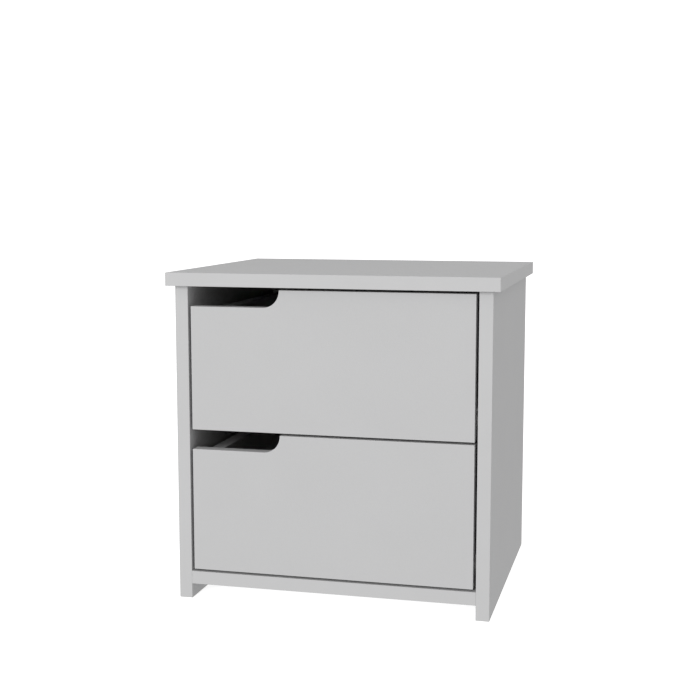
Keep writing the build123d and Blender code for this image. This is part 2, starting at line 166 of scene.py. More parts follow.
class FittingSettings(PropertyGroup):
    """Shapes of the screws, cams, dowels and rollers."""

    ring_steps: IntProperty(name="Steps", description="Steps round a small fitting", default=36, min=12)
    roller_steps: IntProperty(name="Roller steps", description="Steps round a roller", default=96, min=24)
    screw_pitch: length_setting("Screw pitch", "Pitch of a wood screw's thread", 1.3 * MM)
    joint_screw_pitch: length_setting("Joint pitch", "Pitch of a joint screw's thread", 2.6 * MM)
    bolt_pitch: length_setting("Bolt pitch", "Pitch of a cam bolt's thread", 1.8 * MM)
    thread_depth: length_setting("Thread depth", "Height of a thread over its core", 0.45 * MM)
    dowel_flutes: IntProperty(name="Flutes", description="Grooves along a dowel", default=12, min=4)
    roller_ribs: IntProperty(name="Ribs", description="Ribs in each face of a roller", default=6, min=0)


class StageSettings(PropertyGroup):
    """The studio: floor, lamps and camera."""

    floor_colour: colour_setting("Floor", "Colour of the floor", (0.86, 0.86, 0.86))
    floor_glow: FloatProperty(
        name="Floor glow", description="Light that the floor gives", default=0.68, min=0.0
    )
    wall_glow: FloatProperty(
        name="Wall glow", description="Light that the wall gives", default=1.2, min=0.0
    )
    room_light: FloatProperty(name="Room", description="Light from all round", default=0.682, min=0.0)
    front_light: FloatProperty(
        name="Front lamp", description="Power of the front lamp", default=120.0, unit="POWER", min=0.0
    )
    focal_length: FloatProperty(
        name="Lens", description="Focal length in millimetres", default=64.5, min=10.0
    )
    camera_place: FloatVectorProperty(
        name="Camera", description="Place of the camera", default=(0.3759, -1.5678, 0.4903), subtype="XYZ"
    )
    camera_pitch: FloatProperty(
        name="Pitch", description="Angle below the horizon", default=radians(7.004), subtype="ANGLE"
    )
    camera_yaw: FloatProperty(
        name="Yaw",
        description="Turn to the left of straight ahead",
        default=radians(14.063),
        subtype="ANGLE",
    )


# Shader expressions


class Field:
    """A value that varies over a surface. Arithmetic on it adds Math nodes."""

    def __init__(self, finish, socket):
        self.finish = finish
        self.socket = socket

    def maths(self, operation, first, second=0.0):
        """The result of a Math node on two values."""
        return self.finish.node("ShaderNodeMath", {"operation": operation}, {0: first, 1: second})

    def __add__(self, other):
        return self.maths("ADD", self, other)

    def __radd__(self, other):
        return self.maths("ADD", other, self)

    def __sub__(self, other):
        return self.maths("SUBTRACT", self, other)

    def __rsub__(self, other):
        return self.maths("SUBTRACT", other, self)

    def __mul__(self, other):
        return self.maths("MULTIPLY", self, other)

    def __rmul__(self, other):
        return self.maths("MULTIPLY", other, self)

    def __lt__(self, other):
        return self.maths("LESS_THAN", self, other)

    def __gt__(self, other):
        return self.maths("GREATER_THAN", self, other)

    def __abs__(self):
        return self.maths("ABSOLUTE", self)

    def least(self, other):
        """The smaller of two values."""
        return self.maths("MINIMUM", self, other)


class Finish:
    """A material, built up node by node."""

    def __init__(self, name):
        self.material = bpy.data.materials.new(name)
        self.material.use_nodes = True
        self.tree = self.material.node_tree
        self.tree.nodes.clear()

    def node(self, kind, settings=None, sockets=None, output=0):
        """Adds a node: first its settings, then the values or links of its sockets."""
        made = self.tree.nodes.new(kind)
        for key, value in (settings or {}).items():
            if key == "stops":
                self.set_stops(made.color_ramp, value)
            else:
                setattr(made, key, value)
        for key, value in (sockets or {}).items():
            if isinstance(value, Field):
                self.tree.links.new(value.socket, made.inputs[key])
            else:
                made.inputs[key].default_value = value
        return Field(self, made.outputs[output]) if made.outputs else None

    def set_stops(self, ramp, stops):
        """Sets a ramp's stops, each a place from 0 to 1 and a colour."""
        while len(ramp.elements) < len(stops):
            ramp.elements.new(1.0)
        for element, (place, shade) in zip(ramp.elements, stops):
            element.position = place
            element.color = (*shade, 1.0)

    def place(self, stretch=(1.0, 1.0, 1.0)):
        """Object coordinates, each multiplied by its own factor."""
        raw = self.node("ShaderNodeTexCoord", output=3)
        if tuple(stretch) == (1.0, 1.0, 1.0):
            return raw
        return self.node("ShaderNodeMapping", {"vector_type": "POINT"}, {"Vector": raw, "Scale": stretch})

    def along(self, axis):
        """The object coordinate along one axis."""
        return self.node("ShaderNodeSeparateXYZ", None, {0: self.place()}, output=axis)

    def noise(self, size, detail=2.0, rough=0.5, stretch=(1.0, 1.0, 1.0)):
        """Noise from 0 to 1 with features of about the given size in metres."""
        sockets = {"Vector": self.place(stretch), "Scale": 1.0 / size, "Detail": detail, "Roughness": rough}
        return self.node("ShaderNodeTexNoise", {"noise_dimensions": "3D"}, sockets)

    def cells(self, size, stretch, output):
        """Random cells of about the given size: output 0 is the distance, 1 the random colour."""
        sockets = {"Vector": self.place(stretch), "Scale": 1.0 / size, "Randomness": 1.0}
        return self.node("ShaderNodeTexVoronoi", {"feature": "F1"}, sockets, output=output)

    def ramp(self, value, stops):
        """A colour looked up from stops."""
        return self.node("ShaderNodeValToRGB", {"stops": stops}, {0: value})

    def mix(self, factor, first, second):
        """One colour fading into another."""
        first = first if isinstance(first, Field) else (*first, 1.0)
        second = second if isinstance(second, Field) else (*second, 1.0)
        settings = {"data_type": "RGBA", "clamp_factor": True}
        return self.node("ShaderNodeMix", settings, {0: factor, 6: first, 7: second}, output=2)

    def bump(self, height, depth):
        """A normal from a height between 0 and 1, with its depth in metres."""
        return self.node("ShaderNodeBump", None, {"Height": height, "Strength": 1.0, "Distance": depth})

    def surface(self, **sockets):
        """The principled surface, with sockets named in lower case."""
        named = {key.replace("_", " ").title(): value for key, value in sockets.items()}
        shader = self.node("ShaderNodeBsdfPrincipled", None, named)
        self.node("ShaderNodeOutputMaterial", None, {"Surface": shader})
        return self.material


def shade(colour, factor):
    """A colour made lighter or darker."""
    return tuple(min(1.0, channel * factor) for channel in colour)


def thin_axis(node):
    """The axis across a board's thickness, with the board's two faces along it."""
    low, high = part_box(node)
    size = high - low
    axis = min(range(3), key=lambda index: size[index])
    return axis, low[axis], high[axis]


def chip_core(finish, settings, axis):
    """Colour and height of pressed wood chips, flattened across the board's thickness."""
    stretch = tuple(CHIP_FLATNESS if index == axis else 1.0 for index in range(3))
    tone = finish.cells(settings.chip_size, stretch, 1)
    picked = finish.node("ShaderNodeSeparateColor", None, {0: tone})
    middle = tuple((a + b) / 2 for a, b in zip(settings.chip_light, settings.chip_dark))
    light = settings.chip_light
    stops = [(0.0, settings.chip_dark), (0.35, middle), (0.8, light), (1.0, shade(middle, 1.3))]
    chips = finish.ramp(picked, stops)
    dust = finish.noise(settings.chip_size / 5, 3.0, 0.6)
    colour = finish.mix(dust * 0.45, chips, shade(middle, 0.75))
    height = finish.cells(settings.chip_size, stretch, 0) * 0.7 + dust * 0.3
    return colour, height


def melamine_finish(node, settings):
    """Grey melamine on a board's two faces, and its chipboard core on every cut edge and bore."""
    finish = Finish(f"melamine_{node}")
    axis, low, high = thin_axis(node)
    across = finish.along(axis)
    off_face = abs(across - low).least(abs(across - high))
    face = off_face < settings.paper_thickness
    cloud = finish.noise(BOARD_CLOUD, 3.0, 0.5)
    pearl = finish.noise(settings.pearl_size, 2.0, 0.55)
    fine = finish.noise(settings.pearl_size / 4, 1.0, 0.5)
    colour = settings.face_colour
    grey = finish.mix(cloud * 0.3 + pearl * 0.7, shade(colour, 0.93), shade(colour, 1.07))
    core_colour, core_height = chip_core(finish, settings, axis)
    base = finish.mix(face, core_colour, grey)
    rough = face * (0.58 + pearl * 0.12 - 0.88) + 0.88
    face_height = (pearl * 0.7 + fine * 0.3) * 0.4
    height = face * face_height + (1.0 - face) * core_height
    return finish.surface(base_color=base, roughness=rough, normal=finish.bump(height, CORE_BUMP))


def band_finish(node, settings):
    """Satin plastic edge band, with the faint lengthwise lines of its extrusion."""
    finish = Finish(f"band_{node}")
    cloud = finish.noise(BAND_CLOUD, 2.0, 0.5)
    grain = finish.noise(settings.pearl_size, 2.0, 0.5)
    lines = finish.noise(BAND_LINES, 1.0, 0.5, (0.02, 1.0, 0.02))
    tone = cloud * 0.3 + grain * 0.5 + lines * 0.2
    base = finish.mix(tone, shade(settings.band_colour, 0.95), shade(settings.band_colour, 1.05))
    height = grain * 0.7 + lines * 0.3
    return finish.surface(
        base_color=base, roughness=0.5 + grain * 0.1, normal=finish.bump(height, BAND_BUMP)
    )


def hardboard_finish(node, painted_high, settings):
    """Thin fibreboard: one face painted grey, the other face and the edges raw and brown."""
    finish = Finish(f"hardboard_{node}")
    axis, low, high = thin_axis(node)
    face_at = high if painted_high else low
    painted = abs(finish.along(axis) - face_at) < settings.paper_thickness
    cloud = finish.noise(HARDBOARD_CLOUD, 4.0, 0.6)
    fibre_stretch = tuple(0.35 if index == (axis + 1) % 3 else 1.0 for index in range(3))
    fibres = finish.noise(FIBRE_SIZE, 4.0, 0.7, fibre_stretch)
    specks = finish.noise(SPECK_SIZE, 1.0, 0.4)
    brown = settings.hardboard_colour
    raw = finish.mix(cloud * 0.5 + fibres * 0.5, shade(brown, 0.62), shade(brown, 1.45))
    raw = finish.mix((specks > 0.66) * 0.45, raw, shade(brown, 0.4))
    paint = finish.mix(
        cloud * 0.4 + fibres * 0.6, shade(settings.paint_colour, 0.97), shade(settings.paint_colour, 1.03)
    )
    height = fibres * (1.0 - painted * 0.75)
    return finish.surface(
        base_color=finish.mix(painted, raw, paint),
        roughness=painted * (0.5 - 0.68) + 0.68 + cloud * 0.06,
        normal=finish.bump(height, FIBRE_BUMP),
    )


def powder_finish(settings):
    """White powder coat on folded steel, with a slight orange peel."""
    finish = Finish("powder_coat")
    peel = finish.noise(PEEL_SIZE, 2.0, 0.45)
    cloud = finish.noise(POWDER_CLOUD, 3.0, 0.5)
    base = finish.mix(cloud, shade(settings.powder_colour, 0.96), shade(settings.powder_colour, 1.04))
    return finish.surface(
        base_color=base, roughness=0.3 + peel * 0.12, normal=finish.bump(peel, PEEL_BUMP)
    )


def zinc_finish(settings):
    """Zinc plating, slightly blotched and brushed by handling."""
    finish = Finish("zinc_plating")
    blotch = finish.noise(ZINC_BLOTCH, 3.0, 0.6)
    grain = finish.noise(ZINC_GRAIN, 2.0, 0.6)
    base = finish.mix(blotch, shade(settings.zinc_colour, 0.82), shade(settings.zinc_colour, 1.12))
    return finish.surface(
        base_color=base,
        metallic=1.0,
        roughness=0.26 + blotch * 0.18,
        normal=finish.bump(grain, SMOOTH_BUMP),
    )


def nylon_finish(settings):
    """Moulded nylon, its tone and dullness varying at random."""
    finish = Finish("nylon")
    cloud = finish.noise(NYLON_CLOUD, 3.0, 0.5)
    grain = finish.noise(NYLON_GRAIN, 2.0, 0.5)
    base = finish.mix(cloud, shade(settings.nylon_colour, 0.93), shade(settings.nylon_colour, 1.05))
    return finish.surface(
        base_color=base, roughness=0.36 + cloud * 0.14, normal=finish.bump(grain, SMOOTH_BUMP)
    )


def beech_finish(name, axis, settings):
    """Unfinished beech with its grain along one axis and short dark flecks."""
    finish = Finish(f"beech_{name}")
    stretch = tuple(0.08 if index == axis else 1.0 for index in range(3))
    grain = finish.noise(BEECH_GRAIN, 4.0, 0.65, stretch)
    fleck_stretch = tuple(0.2 if index == axis else 1.0 for index in range(3))
    flecks = finish.noise(BEECH_FLECK, 1.0, 0.4, fleck_stretch)
    base = finish.mix(grain, shade(settings.beech_colour, 0.72), shade(settings.beech_colour, 1.2))
    base = finish.mix((flecks > 0.64) * 0.5, base, shade(settings.beech_colour, 0.5))
    normal = finish.bump(grain, BEECH_BUMP)
    return finish.surface(base_color=base, roughness=0.62 + grain * 0.1, normal=normal)


def coat(node, material):
    """Gives a CAD piece its finish."""
    mesh = NODES[node].data
    mesh.materials.clear()
    mesh.materials.append(material)


# Shaping


def turn(bm, outline, steps):
    """Turns an open outline of (radius, height) points round the Z axis."""
    verts = [bm.verts.new((radius, 0.0, height)) for radius, height in outline]
    edges = [bm.edges.new(pair) for pair in zip(verts, verts[1:])]
    bmesh.ops.spin(
        bm, geom=verts + edges, cent=(0, 0, 0), axis=(0, 0, 1), angle=FULL_TURN, steps=steps, use_merge=True
    )
    bmesh.ops.remove_doubles(bm, verts=bm.verts, dist=SEAM_MERGE)


def turn_ring(bm, outline, steps, angle=FULL_TURN):
    """Turns a closed outline round the Z axis, all the way or in part."""
    verts = [bm.verts.new((radius, 0.0, height)) for radius, height in outline]
    face = bm.faces.new(verts)
    whole = angle == FULL_TURN
    geom = verts + list(face.edges) if whole else verts + list(face.edges) + [face]
    bmesh.ops.spin(
        bm, geom=geom, cent=(0, 0, 0), axis=(0, 0, 1), angle=angle, steps=steps, use_merge=whole
    )
    if whole:
        bmesh.ops.delete(bm, geom=[face], context="FACES_ONLY")
        bmesh.ops.remove_doubles(bm, verts=bm.verts, dist=SEAM_MERGE)


def thread(bm, root, crest, pitch, low, high, steps):
    """Winds a V-shaped thread round the Z axis between two heights."""
    turns = max(1, int((high - low) / pitch) - 1)
    corners = ((root, low), (crest, low + pitch * 0.3), (root, low + pitch * 0.6))
    verts = [bm.verts.new((radius, 0.0, height)) for radius, height in corners]
    face = bm.faces.new(verts)
    bmesh.ops.spin(
        bm,
        geom=verts + list(face.edges) + [face],
        cent=(0, 0, 0),
        axis=(0, 0, 1),
        dvec=(0, 0, pitch / steps),
        angle=FULL_TURN * turns,
        steps=steps * turns,
        use_merge=False,
    )


def push(bm, faces, step, taper, closed=True):
    """Extrudes faces along Z, narrows or widens them, and removes those left inside the solid."""
    pushed = bmesh.ops.extrude_face_region(bm, geom=faces)["geom"]
    verts = [item for item in pushed if isinstance(item, bmesh.types.BMVert)]
    bmesh.ops.scale(bm, vec=(taper, taper, 1.0), verts=verts)
    bmesh.ops.translate(bm, vec=(0.0, 0.0, step), verts=verts)
    if closed:
        bmesh.ops.delete(bm, geom=[face for face in faces if face.is_valid], context="FACES")
    return [item for item in pushed if isinstance(item, bmesh.types.BMFace)]


def join_recess(bm, recess, depth, taper):
    """Fills the flat ring between a recess's outline and a head's open rim, then sinks the recess."""
    rims = [edge for edge in bm.edges if edge.is_boundary]
    bmesh.ops.triangle_fill(bm, edges=rims, use_beauty=True, use_dissolve=False, normal=(0, 0, -1))
    push(bm, recess, depth, taper)


def faces_at(verts):
    """The faces that meet at some points, each once and in a fixed order."""
    return list(dict.fromkeys(face for vert in verts for face in vert.link_faces))


def cross_recess(bm, span, slot, depth):
    """Closes an open head at height 0 with a tapered cross recess."""
    made = bmesh.ops.create_grid(bm, x_segments=3, y_segments=3, size=span / 2)["verts"]
    for vert in made:
        for index in (0, 1):
            if abs(vert.co[index]) < span / 2 - SOLID_MERGE:
                vert.co[index] = copysign(slot / 2, vert.co[index])
    faces = faces_at(made)
    centres = [face.calc_center_median() for face in faces]
    corners = [
        face for face, centre in zip(faces, centres) if min(abs(centre.x), abs(centre.y)) > slot / 2
    ]
    bmesh.ops.delete(bm, geom=corners, context="FACES")
    join_recess(bm, [face for face in faces if face.is_valid], depth, CROSS_TAPER)


def hex_recess(bm, radius, depth):
    """Closes an open head at height 0 with a hexagonal recess."""
    made = bmesh.ops.create_circle(bm, cap_ends=True, segments=6, radius=radius)["verts"]
    join_recess(bm, faces_at(made), depth, HEX_TAPER)


def finished_mesh(bm, name):
    """A template's mesh, with its normals outward."""
    bmesh.ops.recalc_face_normals(bm, faces=bm.faces)
    mesh = bpy.data.meshes.new(name)
    bm.to_mesh(mesh)
    bm.free()
    return mesh


# Places of the fittings, read from the frame


def separate_solids(node):
    """The lowest and highest corners of each solid of a CAD piece."""
    bm = bmesh.new()
    bm.from_mesh(NODES[node].data)
    bmesh.ops.remove_doubles(bm, verts=bm.verts, dist=SOLID_MERGE)
    waiting = set(bm.verts)
    boxes = []
    while waiting:
        edge_of_island = [waiting.pop()]
        island = []
        while edge_of_island:
            vert = edge_of_island.pop()
            island.append(vert.co.copy())
            for edge in vert.link_edges:
                other = edge.other_vert(vert)
                if other in waiting:
                    waiting.discard(other)
                    edge_of_island.append(other)
        low = Vector([min(point[index] for point in island) for index in range(3)])
        high = Vector([max(point[index] for point in island) for index in range(3)])
        boxes.append((low, high))
    bm.free()
    return sorted(boxes, key=lambda box: tuple(round(value, 4) for value in box[0]))


def outward(centre, size):
    """Away from the middle of the cabinet, to its own side."""
    return Vector((copysign(1.0, centre.x), 0.0, 0.0))


def inward(centre, size):
    """Towards the middle of the cabinet."""
    return -outward(centre, size)


def upward(centre, size):
    """Straight up."""
    return Vector((0.0, 0.0, 1.0))


def forward(centre, size):
    """Towards the drawer fronts."""
    return Vector((0.0, -1.0, 0.0))


def rearward(centre, size):
    """Towards the back panel."""
    return Vector((0.0, 1.0, 0.0))


def panel_bolt_way(centre, size):
    """From the thread to the head: down under the top panel, inward at the bottom panel."""
    return -upward(centre, size) if size.z > size.x else inward(centre, size)


def panel_cam_way(centre, size):
    """Into the board: outward in a side panel, up into the bottom panel."""
    return upward(centre, size) if size.z < size.x else outward(centre, size)


def panel_cam_mouth(centre, size):
    """From a cam towards its bolt."""
    return outward(centre, size) if size.z < size.x else upward(centre, size)


def long_way(centre, size):
    """Along the longest side."""
    axis = max(range(3), key=lambda index: size[index])
    return Vector([1.0 if index == axis else 0.0 for index in range(3)])


def lie(start, way, mouth):
    """The matrix that puts a fitting made up the Z axis at its place, its X axis along mouth."""
    side = way.cross(mouth)
    turned = Matrix((mouth, side, way)).transposed().to_4x4()
    return Matrix.Translation(start) @ turned


def places(node, way_of, mouth_of=None):
    """A matrix for each solid of a CAD piece, and the radius and length that they share."""
    matrices = []
    for number, (low, high) in enumerate(separate_solids(node)):
        centre = (low + high) / 2
        size = high - low
        way = way_of(centre, size)
        length = abs(size.dot(way))
        if mouth_of:
            mouth = mouth_of(centre, size)
        else:
            spare = Vector((0.0, 0.0, 1.0)) if abs(way.z) < 0.5 else Vector((0.0, 1.0, 0.0))
            mouth = Matrix.Rotation(number * SLOT_TWIST, 3, way) @ spare
        matrices.append(lie(centre - way * length / 2, way, mouth))
        radius = max(size[index] for index in range(3) if abs(way[index]) < 0.5) / 2
    return matrices, radius, length


def make_fittings(node, template, matrices, material):
    """Copies a fitting to each of its places, in one piece that stands for the CAD piece."""
    bm = bmesh.new()
    for matrix in matrices:
        count = len(bm.verts)
        bm.from_mesh(template)
        bm.verts.ensure_lookup_table()
        bmesh.ops.transform(bm, matrix=matrix, verts=bm.verts[count:])
    name = f"{node}_detailed"
    mesh = bpy.data.meshes.new(name)
    bm.to_mesh(mesh)
    bm.free()
    bpy.data.meshes.remove(template)
    mesh.shade_smooth()
    mesh.set_sharp_from_angle(angle=SHARP_ANGLE)
    mesh.materials.append(material)
    piece = bpy.data.objects.new(name, mesh)
    bpy.context.scene.collection.objects.link(piece)
    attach(piece, BODY_OF[node])
    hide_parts(node)
    return piece


def shared(name, make):
    """The finish of that name, made once."""
    return bpy.data.materials.get(name) or make()


def zinc(context):
    """The zinc plating that all the fittings share."""
    return shared("zinc_plating", lambda: zinc_finish(context.scene.nightstand_metal))


# Panels


class NIGHTSTAND_OT_boards(Operator):
    """Lay melamine on the panels of the cabinet and of both drawers"""

    bl_idname = "nightstand.boards"
    bl_label = "Finish the Boards"

    def execute(self, context):
        settings = context.scene.nightstand_boards
        cabinet = ["top_panel", "bottom_panel"] + [f"{side}_side_panel" for side in SIDES]
        parts = ("front", "back", "left_side", "right_side")
        drawers = [f"{level}_drawer_{part}" for level in LEVELS for part in parts]
        for node in cabinet + drawers:
            coat(node, melamine_finish(node, settings))
        return {"FINISHED"}


class NIGHTSTAND_OT_edge_bands(Operator):
    """Give every edge band its satin plastic"""

    bl_idname = "nightstand.edge_bands"
    bl_label = "Finish the Edge Bands"

    def execute(self, context):
        for node in NODES:
            if "edge_band" in node:
                coat(node, band_finish(node, context.scene.nightstand_boards))
        return {"FINISHED"}


class NIGHTSTAND_OT_hardboard(Operator):
    """Paint the inner face of the back panel and the upper face of the drawer bottoms"""

    bl_idname = "nightstand.hardboard"
    bl_label = "Finish the Hardboard"

    def execute(self, context):
        settings = context.scene.nightstand_boards
        coat("back_panel", hardboard_finish("back_panel", False, settings))
        for level in LEVELS:
            node = f"{level}_drawer_bottom"
            coat(node, hardboard_finish(node, True, settings))
        return {"FINISHED"}


# Runners and rollers


class NIGHTSTAND_OT_runners(Operator):
    """Powder-coat the runner channels and the drawer members"""

    bl_idname = "nightstand.runners"
    bl_label = "Finish the Runners"

    def execute(self, context):
        material = shared("powder_coat", lambda: powder_finish(context.scene.nightstand_metal))
        for node in NODES:
            if node.endswith(("cabinet_runner", "drawer_runner")):
                coat(node, material)
        return {"FINISHED"}


def roller_template(radius, width, fittings):
    """A moulded roller with rounded edges, a hub, a ring recess and ribs in each face."""
    bore = 3.06 * MM
    hub = 5.2 * MM
    rim = 9.0 * MM
    sunk = 0.8 * MM
    soft = 0.7 * MM
    corner = [(radius - soft + soft * sin(a), soft - soft * cos(a)) for a in QUARTER_STEPS]
    face = [(bore, 0.0), (hub, 0.0), (hub + 0.2 * MM, sunk), (rim - 0.2 * MM, sunk), (rim, 0.0)] + corner
    outline = face + [(r, width - h) for r, h in reversed(face)]
    bm = bmesh.new()
    turn_ring(bm, outline, fittings.roller_steps)
    for height in (sunk / 2 + 0.1 * MM, width - sunk / 2 - 0.1 * MM):
        for number in range(fittings.roller_ribs):
            spot = Matrix.Rotation(FULL_TURN * number / fittings.roller_ribs, 4, "Z")
            spot = spot @ Matrix.Translation(((hub + rim) / 2, 0.0, height))
            spot = spot @ Matrix.Diagonal((rim - hub, 0.9 * MM, sunk - 0.2 * MM, 1.0))
            bmesh.ops.create_cube(bm, size=1.0, matrix=spot)
    return finished_mesh(bm, "roller_template")


class NIGHTSTAND_OT_rollers(Operator):
    """Mould the nylon rollers of all four pairs of runners"""

    bl_idname = "nightstand.rollers"
    bl_label = "Make the Rollers"

    def execute(self, context):
        material = shared("nylon", lambda: nylon_finish(context.scene.nightstand_metal))
        for node in NODES:
            if node.endswith("roller"):
                matrices, radius, width = places(node, outward)
                template = roller_template(radius, width, context.scene.nightstand_fittings)
                make_fittings(node, template, matrices, material)
        return {"FINISHED"}


def pin_template(head, length, fittings):
    """A riveted roller pin: a plain shank and a domed head."""
    shank = 3.0 * MM
    thick = 1.0 * MM
    rise = thick * 0.55
    dome = [(head * cos(a), length - rise + rise * sin(a)) for a in QUARTER_STEPS[:-1]]
    outline = [(0.0, 0.0), (shank - 0.2 * MM, 0.0), (shank, 0.2 * MM), (shank, length - thick)]
    outline += [(head, length - thick)] + dome + [(0.0, length)]
    bm = bmesh.new()
    turn(bm, outline, fittings.ring_steps)
    return finished_mesh(bm, "pin_template")


class NIGHTSTAND_OT_roller_pins(Operator):
    """Rivet the pins that the rollers turn on"""

    bl_idname = "nightstand.roller_pins"
    bl_label = "Make the Roller Pins"

    def execute(self, context):
        ways = {"cabinet_roller_pins": inward}
        ways.update({f"{level}_drawer_roller_pins": outward for level in LEVELS})
        for node, way in ways.items():
            matrices, head, length = places(node, way)
            template = pin_template(head, length, context.scene.nightstand_fittings)
            make_fittings(node, template, matrices, zinc(context))
        return {"FINISHED"}


# Screws and nails


def screw_template(head, length, fittings):
    """A countersunk wood screw with a cross recess and a coarse thread."""
    depth = 2.0 * MM
    crest = 1.7 * MM
    core = crest - fittings.thread_depth
    tip = 3.0 * MM
    bm = bmesh.new()
    outline = [
        (head - 0.2 * MM, 0.0),
        (head - 0.05 * MM, 0.08 * MM),
        (core + 0.2 * MM, depth),
        (core, depth + 0.5 * MM),
        (core, length - tip),
        (0.0, length),
    ]
    turn(bm, outline, fittings.ring_steps)
    cross_recess(bm, 3.4 * MM, 0.8 * MM, 1.4 * MM)
    thread(bm, core - 0.05 * MM, crest, fittings.screw_pitch, depth + 0.8 * MM, length - tip, 16)
    return finished_mesh(bm, "screw_template")


class NIGHTSTAND_OT_runner_screws(Operator):
    """Drive the countersunk screws that hold the runners"""

    bl_idname = "nightstand.runner_screws"
    bl_label = "Make the Runner Screws"

    def execute(self, context):
        ways = {"cabinet_runner_screws": outward}
        ways.update({f"{level}_drawer_runner_screws": upward for level in LEVELS})
        for node, way in ways.items():
            matrices, head, length = places(node, way)
            template = screw_template(head, length, context.scene.nightstand_fittings)
            make_fittings(node, template, matrices, zinc(context))
        return {"FINISHED"}


def joint_screw_template(head, length, shank_length, fittings):
    """A joint screw: a hexagonal recess, a stepped neck and a deep thread."""
    shank = 3.5 * MM
    crest = 2.5 * MM
    core = crest - fittings.thread_depth
    bm = bmesh.new()
    outline = [
        (head - 0.3 * MM, 0.0),
        (head - 0.05 * MM, 0.2 * MM),
        (shank, 3.0 * MM),
        (shank, shank_length - 0.6 * MM),
        (core, shank_length),
        (core, length - 3.0 * MM),
        (0.0, length),
    ]
    turn(bm, outline, fittings.ring_steps)
    hex_recess(bm, 2.3 * MM, 3.0 * MM)
    low = shank_length + 0.5 * MM
    thread(bm, core - 0.05 * MM, crest, fittings.joint_screw_pitch, low, length - 2.0 * MM, 20)
    return finished_mesh(bm, "joint_screw_template")


class NIGHTSTAND_OT_joint_screws(Operator):
    """Drive the joint screws through the drawer sides into the drawer backs"""

    bl_idname = "nightstand.joint_screws"
    bl_label = "Make the Joint Screws"

    def execute(self, context):
        for level in LEVELS:
            node = f"{level}_drawer_back_screws"
            low, high = thin_axis(f"{level}_drawer_left_side")[1:]
            matrices, head, length = places(node, inward)
            fittings = context.scene.nightstand_fittings
            template = joint_screw_template(head, length, high - low, fittings)
            make_fittings(node, template, matrices, zinc(context))
        return {"FINISHED"}


def nail_template(head, length, fittings):
    """A wire nail with a flat, slightly domed head and a drawn point."""
    shank = 0.7 * MM
    thick = 0.6 * MM
    outline = [
        (0.0, 0.0),
        (head * 0.6, 0.04 * MM),
        (head * 0.92, 0.16 * MM),
        (head, 0.32 * MM),
        (head, thick),
        (shank, thick),
        (shank, length - 2.0 * MM),
        (0.0, length),
    ]
    bm = bmesh.new()
    turn(bm, outline, fittings.ring_steps * 2 // 3)
    return finished_mesh(bm, "nail_template")


class NIGHTSTAND_OT_nails(Operator):
    """Drive the nails of the back panel and of the drawer bottoms"""

    bl_idname = "nightstand.nails"
    bl_label = "Make the Nails"

    def execute(self, context):
        ways = {"back_panel_nails": forward}
        ways.update({f"{level}_drawer_bottom_nails": upward for level in LEVELS})
        for node, way in ways.items():
            matrices, head, length = places(node, way)
            template = nail_template(head, length, context.scene.nightstand_fittings)
            make_fittings(node, template, matrices, zinc(context))
        return {"FINISHED"}


# Cam fittings and dowels


def cam_template(radius, length, fittings):
    """A cam: a chamfered cap with a cross recess, an open wall round the bolt's head, and a floor."""
    cap = 3.6 * MM
    floor = 0.5 * MM
    cavity = 4.3 * MM
    bm = bmesh.new()
    outline = [
        (radius - 0.6 * MM, 0.0),
        (radius - 0.1 * MM, 0.4 * MM),
        (radius, 0.8 * MM),
        (radius, cap),
        (0.0, cap),
    ]
    turn(bm, outline, fittings.ring_steps)
    cross_recess(bm, 8.0 * MM, 1.6 * MM, 2.2 * MM)
    wall = bmesh.new()
    wall_outline = [(cavity, cap), (radius, cap), (radius, length - floor), (cavity, length - floor)]
    turn_ring(wall, wall_outline, fittings.ring_steps, FULL_TURN - CAM_MOUTH)
    half_mouth = Matrix.Rotation(CAM_MOUTH / 2, 3, "Z")
    bmesh.ops.rotate(wall, cent=(0, 0, 0), matrix=half_mouth, verts=wall.verts)
    spare = bpy.data.meshes.new("cam_wall")
    wall.to_mesh(spare)
    wall.free()
    bm.from_mesh(spare)
    bpy.data.meshes.remove(spare)
    floor_outline = [(0.0, length - floor), (radius, length - floor), (radius, length), (0.0, length)]
    turn(bm, floor_outline, fittings.ring_steps)
    return finished_mesh(bm, "cam_template")


class NIGHTSTAND_OT_cam_locks(Operator):
    """Set the cams that pull the boards together"""

    bl_idname = "nightstand.cam_locks"
    bl_label = "Make the Cams"

    def execute(self, context):
        ways = {"panel_cam_locks": (panel_cam_way, panel_cam_mouth)}
        ways.update({f"{level}_drawer_cam_locks": (inward, forward) for level in LEVELS})
        for node, (way, mouth) in ways.items():
            matrices, radius, length = places(node, way, mouth)
            template = cam_template(radius, length, context.scene.nightstand_fittings)
            make_fittings(node, template, matrices, zinc(context))
        return {"FINISHED"}


